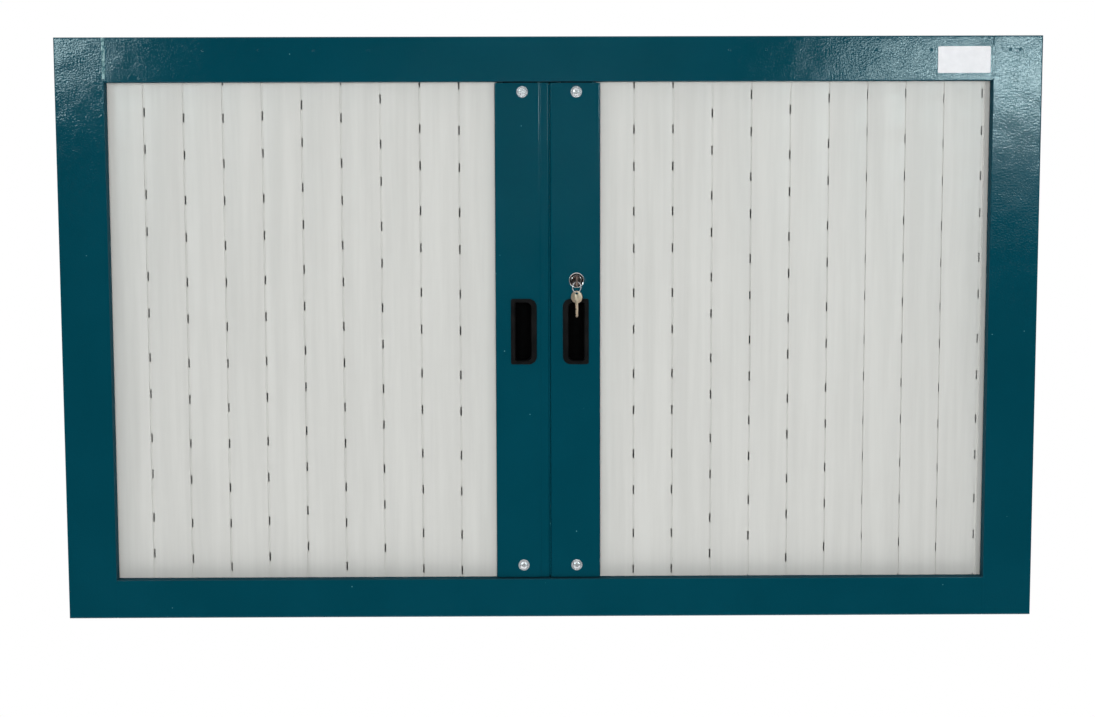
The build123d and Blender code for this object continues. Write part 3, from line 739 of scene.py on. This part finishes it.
key_thickness = key_box[1].x - key_box[0].x
bow_radius = (key_box[1].z - key_box[0].z) / 2
key_bevel = 0.00028
key_hole_radius = 0.0025
key_hole_offset = 0.0015
bow_drop = 0.0025
spare_hole_radius = 0.0018
spare_hole_offset = 0.0047
blade_tip = 0.0014
tooth_depths = (0.0011, 0.0007, 0.0013, 0.0008)
tooth_pitch = 0.0034
last_tooth = 0.003
groove_width = 0.0011
groove_depth = 0.0005
arc_steps = 48
wire_radius = 0.00031
spare_key_normal = math.radians(65)
ring_turn = math.radians(35)
ring_opening = math.radians(250)
ring_steps = 4 * arc_steps
crossing_turns = 0.1


def shaded_key_brass():
    """A darker copy of the key finish for the key in the lock, which is seen edge-on: painted
    shade.
    """
    return plated_metal("shaded_key_brass", (0.34, 0.25, 0.21), (0.2, 0.14, 0.12), 0.36, 0.0008)


def key_outline(blade_end):
    """The stamped outline, with the bow's middle at the origin and the blade along +X."""
    half = blade_height / 2
    start = math.asin((half + key_bevel) / bow_radius)
    points = []
    for step in range(arc_steps + 1):
        turn = start + (2 * math.pi - 2 * start) * step / arc_steps
        points.append((bow_radius * math.cos(turn), bow_radius * math.sin(turn)))
    points += [(blade_end - blade_tip, -half), (blade_end, -0.3 * half)]
    points += [(blade_end, 0.3 * half), (blade_end - blade_tip, half)]
    for number, depth in enumerate(tooth_depths):
        tooth = blade_end - last_tooth - number * tooth_pitch
        points += [(tooth + 0.8 * depth, half), (tooth + 0.2 * depth, half - depth)]
        points += [(tooth - 0.2 * depth, half - depth), (tooth - 0.8 * depth, half)]
    return points


def key_mesh(name, length, hole_radius, hole_offset):
    """A stamped key of a given length, lying in the XY plane."""
    blade_end = length - bow_radius
    curve = bpy.data.curves.new(name, "CURVE")
    curve.dimensions = "2D"
    curve.fill_mode = "BOTH"
    curve.extrude = key_thickness / 2 - key_bevel
    curve.bevel_depth = key_bevel
    curve.bevel_resolution = 2
    curve.offset = -key_bevel
    add_spline(curve, [(*point, 0) for point in key_outline(blade_end)], cyclic=True)
    turns = [2 * math.pi * step / arc_steps for step in range(arc_steps)]
    add_spline(curve, [
        (hole_radius * math.cos(turn) - hole_offset, hole_radius * math.sin(turn), 0)
        for turn in turns
    ], cyclic=True)
    mesh = curve_mesh(curve)
    for side in (-1, 1):
        faces = sorted((side * (key_thickness / 2 - groove_depth), side * key_thickness))
        mesh = cut_box(
            mesh,
            (0.8 * bow_radius, -0.55 * groove_width, faces[0]),
            (blade_end - 2 * blade_tip, 0.45 * groove_width, faces[1]),
        )
    return mesh


def place(mesh, origin, along, normal):
    """Moves a mesh from the XY plane to a plane at the origin given."""
    turn = Matrix((along, normal.cross(along), normal)).transposed().to_4x4()
    mesh.transform(Matrix.Translation(origin) @ turn)


def make_keys():
    """The key in the lock and the spare key, which hangs from the ring."""
    mesh = key_mesh("key", key_box[1].y - key_box[0].y, key_hole_radius, key_hole_offset)
    origin = Vector((lock_centre.x, key_box[0].y + bow_radius, lock_centre.z))
    place(mesh, origin, Vector((0, 1, 0)), Vector((1, 0, 0)))
    # The key in the lock takes the darker copy of the key finish, as painted shade.
    add_piece("lock_key", mesh, "key", "key_steel", "key", finish=shaded_key_brass())
    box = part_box("spare_key")
    length = box[1].z - box[0].z - bow_drop
    mesh = key_mesh("spare_key", length, spare_hole_radius, spare_hole_offset)
    origin = Vector((middle(box).x, middle(box).y, box[1].z - bow_radius - bow_drop))
    normal = Vector((math.cos(spare_key_normal), math.sin(spare_key_normal), 0))
    place(mesh, origin, Vector((0, 0, -1)), normal)
    add_piece("hanging_key", mesh, "spare_key", "key_steel", "spare_key")


def make_split_ring():
    """A split ring: two turns of wire side by side, with a step from one to the other."""
    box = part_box("key_ring")
    centre = middle(box)
    radius = (box[1].z - box[0].z) / 2 - 2 * wire_radius
    across = Vector((math.cos(ring_turn), math.sin(ring_turn), 0))
    normal = Vector((math.sin(ring_turn), -math.cos(ring_turn), 0))
    points = []
    for step in range(ring_steps + 1):
        turns = 2 * step / ring_steps
        angle = 2 * math.pi * turns + ring_opening
        shift = max(-1, min(1, (turns - 1) / crossing_turns)) * wire_radius
        spot = centre + normal * shift
        spot += (across * math.cos(angle) + Vector((0, 0, 1)) * math.sin(angle)) * radius
        points.append(tuple(spot))
    curve = bpy.data.curves.new("split_ring", "CURVE")
    curve.dimensions = "3D"
    curve.bevel_depth = wire_radius
    curve.bevel_resolution = 4
    curve.use_fill_caps = True
    add_spline(curve, points, cyclic=False)
    add_piece("split_ring", curve_mesh(curve), "key_ring", "zinc_plate", "key_ring")


# Screws in the lead stiles

flange_height = 0.001
screw_dome_radius = 0.0051
screw_shank = 0.0022
cross_width = 0.0013
cross_reach = 0.0026
cross_depth = 0.0018


def make_screws(side_name):
    """Both flanged screws of one lead stile, with their cross recesses."""
    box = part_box(f"{side_name}_stile_screws")
    flange_radius = (box[1].x - box[0].x) / 2
    head = stile_face - box[0].y
    dome = head - flange_height
    shank_end = stile_face - box[1].y
    shape = bmesh.new()
    centres = [
        Vector((middle(box).x, stile_face, box[1].z - flange_radius)),
        Vector((middle(box).x, stile_face, box[0].z + flange_radius)),
    ]
    for centre in centres:
        add_turned(shape, centre, [
            (0, head),
            (0.45 * screw_dome_radius, head - 0.03 * dome),
            (0.72 * screw_dome_radius, head - 0.15 * dome),
            (0.9 * screw_dome_radius, head - 0.38 * dome),
            (screw_dome_radius, head - 0.7 * dome),
            (screw_dome_radius, 0.7 * flange_height),
            (1.06 * screw_dome_radius, 0.7 * flange_height),
            (1.1 * screw_dome_radius, flange_height),
            (0.94 * flange_radius, flange_height),
            (flange_radius, 0.6 * flange_height),
            (flange_radius, 0),
            (screw_shank, 0),
            (screw_shank, shank_end),
            (0, shank_end),
        ])
    mesh = mesh_of(shape, "screws")
    for centre in centres:
        for reach_x, reach_z in ((cross_reach, cross_width / 2), (cross_width / 2, cross_reach)):
            mesh = cut_box(
                mesh,
                (centre.x - reach_x, box[0].y - cross_depth, centre.z - reach_z),
                (centre.x + reach_x, box[0].y + cross_depth, centre.z + reach_z),
            )
    add_piece(
        f"{side_name}_screws", mesh, f"{side_name}_door", "zinc_plate", f"{side_name}_stile_screws"
    )


# Sealing lip on the left lead stile, just behind the meeting line

seal_reach = 0.0012
seal_root = 0.0002
seal_setback = 0.0014
seal_thickness = 0.0006
seal_end_gap = 0.002
seal_sides = 6


def make_seal():
    """A thin lip with a rounded edge that stands out of the left stile's folded edge."""
    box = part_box("left_lead_stile")
    back = box[0].y + seal_setback
    half = seal_thickness / 2
    profile = [(box[1].x - seal_root, back - half)]
    for step in range(seal_sides + 1):
        turn = math.pi * (step / seal_sides - 0.5)
        out = box[1].x + seal_reach - half
        profile.append((out + half * math.cos(turn), back + half * math.sin(turn)))
    profile.append((box[1].x - seal_root, back + half))
    shape = bmesh.new()
    ends = [
        [shape.verts.new((x, y, z)) for x, y in profile]
        for z in (box[0].z + seal_end_gap, box[1].z - seal_end_gap)
    ]
    for number in range(len(profile)):
        after = (number + 1) % len(profile)
        shape.faces.new((ends[0][number], ends[0][after], ends[1][after], ends[1][number]))
    for end in ends:
        shape.faces.new(end)
    add_piece("meeting_seal", mesh_of(shape, "seal"), "left_door", "cabinet_paint")


# Seams and weld marks of the front frame

frame_face = rail_box[0].y
seam_left = rail_box[0].x
seam_right = rail_box[1].x
seam_step = 0.002
seam_sides = 12
seam_sink = 0.00004
seam_flatness = 6
seam_wander = 0.0003
seam_unevenness = 0.5
waves_across = 50

# Layer and waves per metre of the noise in a seam's course, width and height
course_noise = (0, 120)
width_noise = (7, 150)
height_noise = (13, 110)

# Name, place across, rail, gaps below and above, width and height of each seam
seams = (
    ("top_left_seam", seam_left, rail_box, 0.004, 0.0006, 0.0045, 0.00015),
    ("top_right_seam", seam_right, rail_box, 0.002, 0.012, 0.004, 0.00012),
    ("bottom_left_seam", seam_left, bottom_rail_box, 0.001, 0.002, 0.003, 0.00015),
    ("bottom_right_seam", seam_right, bottom_rail_box, 0.001, 0.002, 0.003, 0.00015),
)
weld_level = 0.341

# Places along X: some marks are seen in the photograph, the others are spaced like them
weld_spots = (
    -0.5637, -0.5237, -0.5128, -0.4194, -0.3521, -0.2853, -0.2186, -0.1512, -0.0848, -0.0177,
    0.0492, 0.1163, 0.2182, 0.2631, 0.3249, 0.3976, 0.4643, 0.5601, 0.5722,
)
weld_radius = 0.0022
weld_height = 0.00014


def seam_noise(x, z, layer, waves):
    return noise.noise((x * waves_across, layer, z * waves))


def make_seam(name, x, low, high, width, height, finish=None):
    """A bead of filler along a butt seam, ground nearly flat."""
    shape = bmesh.new()
    rows = []
    count = round((high - low) / seam_step)
    for number in range(count + 1):
        z = low + (high - low) * number / count
        wander = seam_wander * seam_noise(x, z, *course_noise)
        half = width / 2 * (1 + seam_unevenness * seam_noise(x, z, *width_noise))
        rise = height * (1 + seam_unevenness * seam_noise(x, z, *height_noise))
        row = []
        for side in range(seam_sides + 1):
            share = 2 * side / seam_sides - 1
            out = rise * (1 - share ** seam_flatness) - seam_sink
            row.append(shape.verts.new((x + wander + share * half, frame_face - out, z)))
        rows.append(row)
    for row, next_row in zip(rows, rows[1:]):
        for side in range(seam_sides):
            shape.faces.new((row[side], row[side + 1], next_row[side + 1], next_row[side]))
    add_piece(name, mesh_of(shape, name), "case", "cabinet_paint", finish=finish)


def make_seams():
    for name, x, rail, gap_below, gap_above, width, height in seams:
        # Only the top left seam gets the pale colour, a painted highlight on its bead.
        finish = painted_seam_highlight() if name == "top_left_seam" else None
        make_seam(name, x, rail[0].z + gap_below, rail[1].z - gap_above, width, height, finish)


def make_weld_marks():
    """Spot welds under the paint of the top rail: low rings, each with a pit."""
    shape = bmesh.new()
    for x in weld_spots:
        add_turned(shape, Vector((x, frame_face, weld_level)), [
            (0, 0.1 * weld_height),
            (0.35 * weld_radius, 0.15 * weld_height),
            (0.5 * weld_radius, 0.8 * weld_height),
            (0.62 * weld_radius, weld_height),
            (0.8 * weld_radius, 0.6 * weld_height),
            (weld_radius, -0.1 * weld_height),
        ])
    add_piece("weld_marks", mesh_of(shape, "weld_marks"), "case", "cabinet_paint")


bpy.context.scene.view_settings.view_transform = "Standard"
make_camera()
make_world()
make_floor()
make_lamps()
make_dark_card()
make_bezel()
make_plug()
make_keys()
make_split_ring()
for side_name in ("left", "right"):
    make_screws(side_name)
make_seal()
make_seams()
make_weld_marks()
